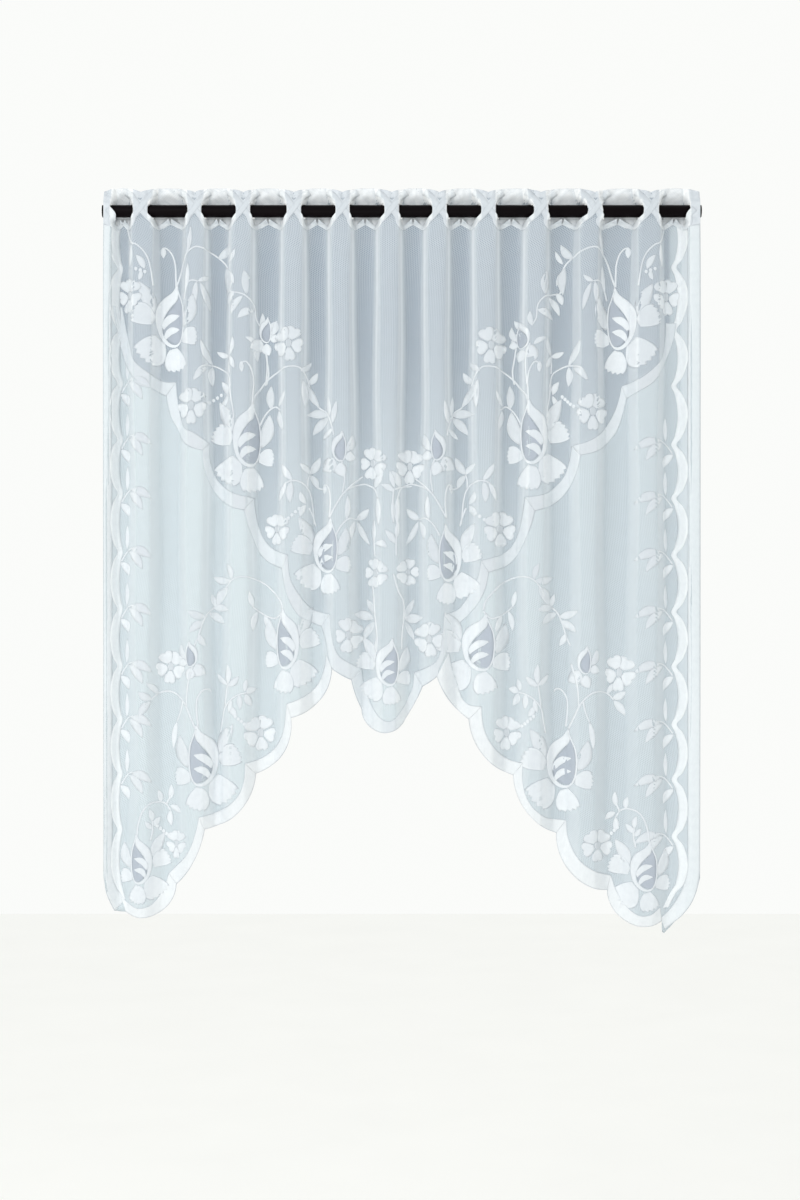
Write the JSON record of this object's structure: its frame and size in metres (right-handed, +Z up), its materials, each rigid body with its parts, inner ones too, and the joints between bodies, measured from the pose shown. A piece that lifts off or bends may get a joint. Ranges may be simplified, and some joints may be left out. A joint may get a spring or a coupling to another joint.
{
  "type": "lace cafe curtain on a rod",
  "caption": "Sheer white lace cafe curtain with a scalloped arched hem and a flower pattern, gathered through its eyelet heading onto a plain round rod.",
  "frame": {"origin": "centre of the rod's left end face, left as seen from the room", "axes": "+X along the rod to the right, -Y towards the room, +Z up"},
  "size_m": [0.968, 0.0356, 1.2056],
  "materials": {
    "lace": "sheer white raschel knit net with denser knitted flowers, bands and edges",
    "rod": "near-black dark brown enamel, semi-gloss"
  },
  "bodies": {
    "root": {"curtain": "lace", "rod": "rod"}
  },
  "joints": []
}
